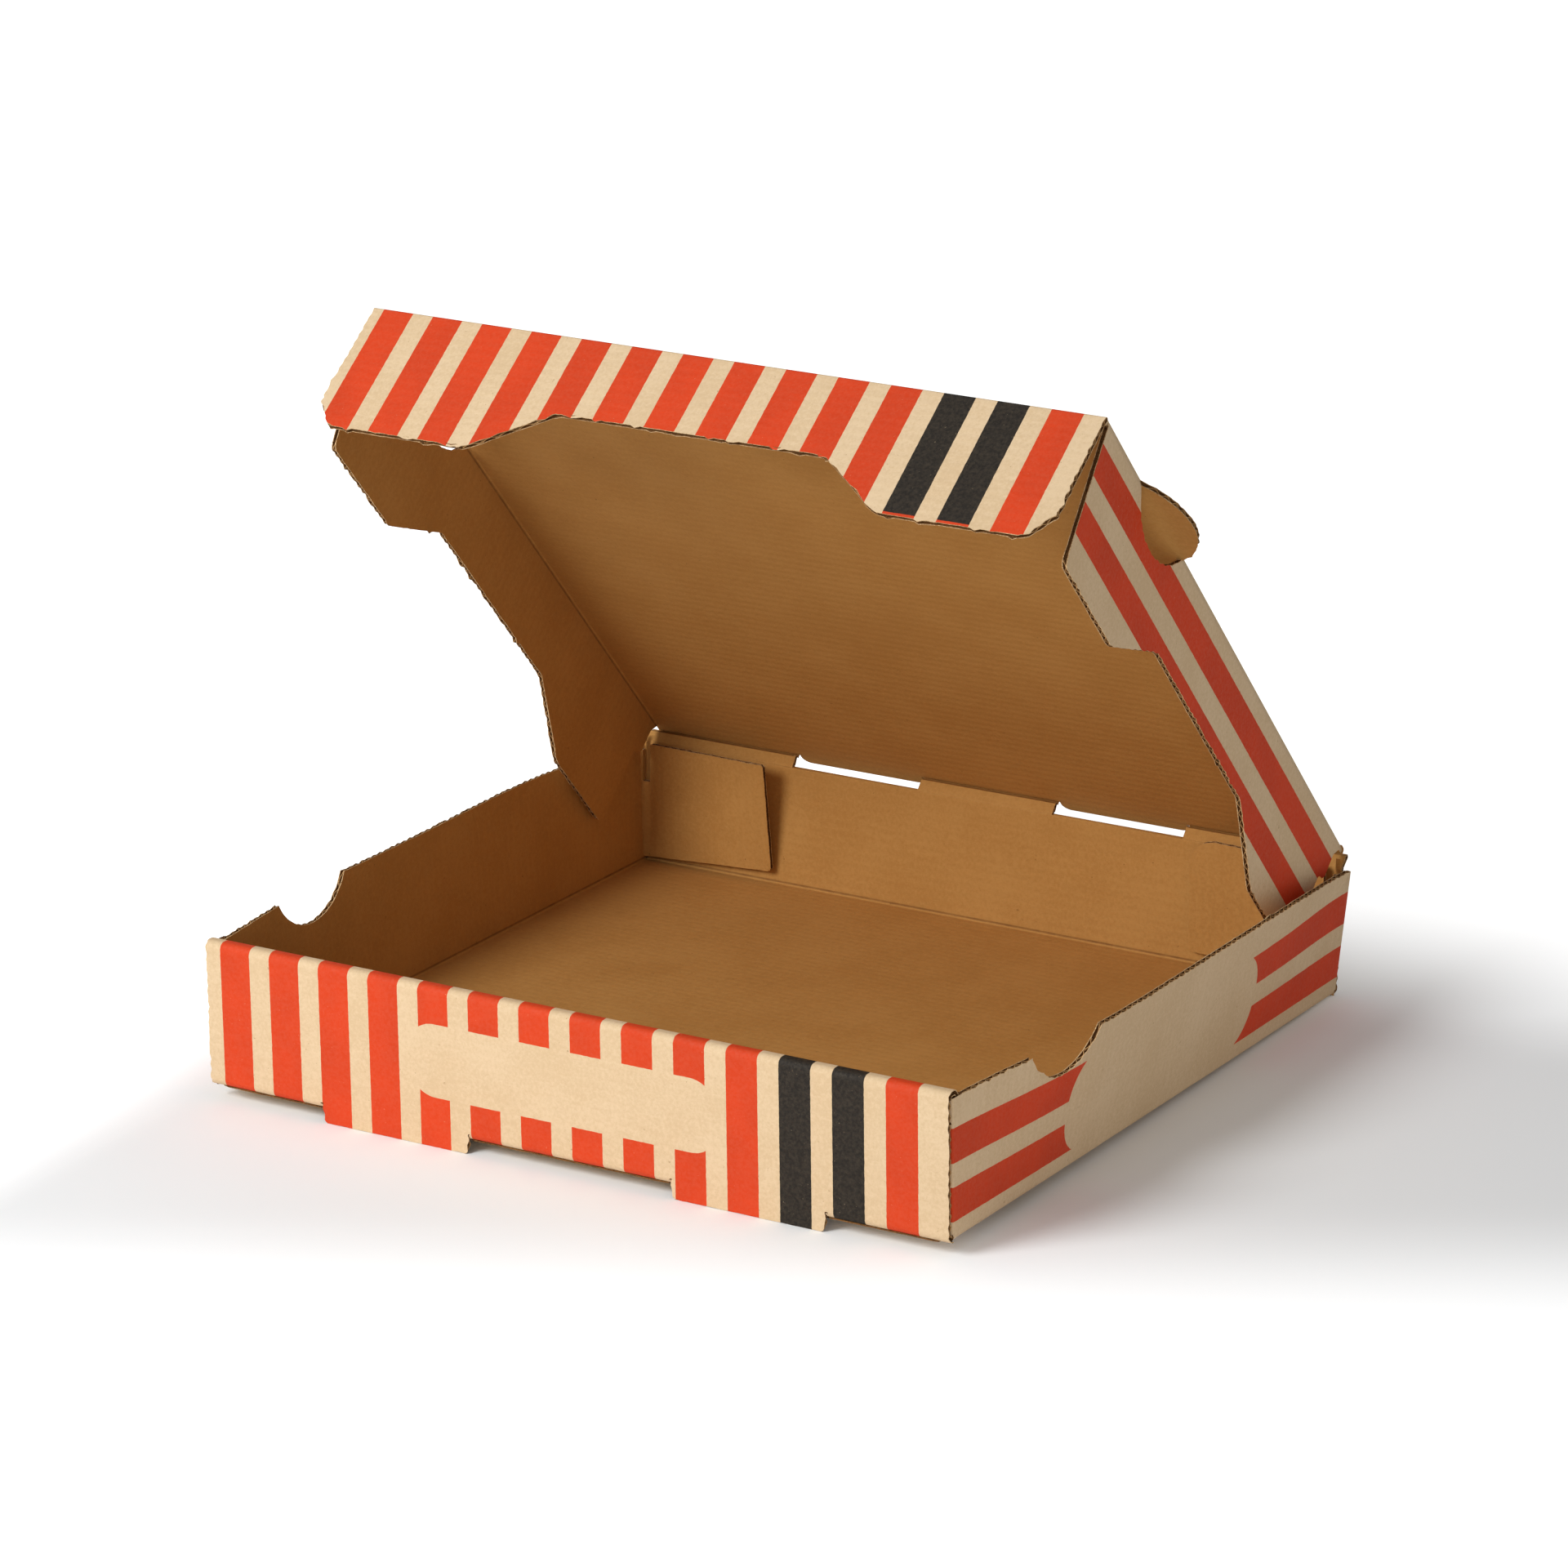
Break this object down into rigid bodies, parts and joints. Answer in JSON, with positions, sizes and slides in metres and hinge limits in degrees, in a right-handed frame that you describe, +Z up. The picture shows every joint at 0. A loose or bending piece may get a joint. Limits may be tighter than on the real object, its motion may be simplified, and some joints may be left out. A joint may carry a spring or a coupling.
{
  "type": "pizza box",
  "caption": "Low square folding board box with a hinged lid standing open, a rolled front wall with feet, side vent notches and a front tuck flap.",
  "frame": {"origin": "on the table, under the middle of the whole box with its lid standing open", "axes": "+X to the right along the front wall, +Y from the front wall to the lid's hinge, +Z up"},
  "size_m": [0.2747, 0.263, 0.2286],
  "materials": {
    "corrugated_board": "matt printed liner on thin corrugated board"
  },
  "bodies": {
    "tray": {"tray": "corrugated_board"},
    "lid": {"lid": "corrugated_board"},
    "lid_front_flap": {"lid_front_flap": "corrugated_board"}
  },
  "joints": [
    {"name": "lid_hinge", "type": "hinge", "parent": "tray", "child": "lid", "pos_m": [0, 0.12785, 0.05051], "axis": [-1, 0, 0], "range_deg": [-46.3, 133]},
    {"name": "front_flap_hinge", "type": "hinge", "parent": "lid", "child": "lid_front_flap", "pos_m": [0, -0.03864, 0.22781], "axis": [-1, 0, 0], "range_deg": [-10, 84]}
  ]
}
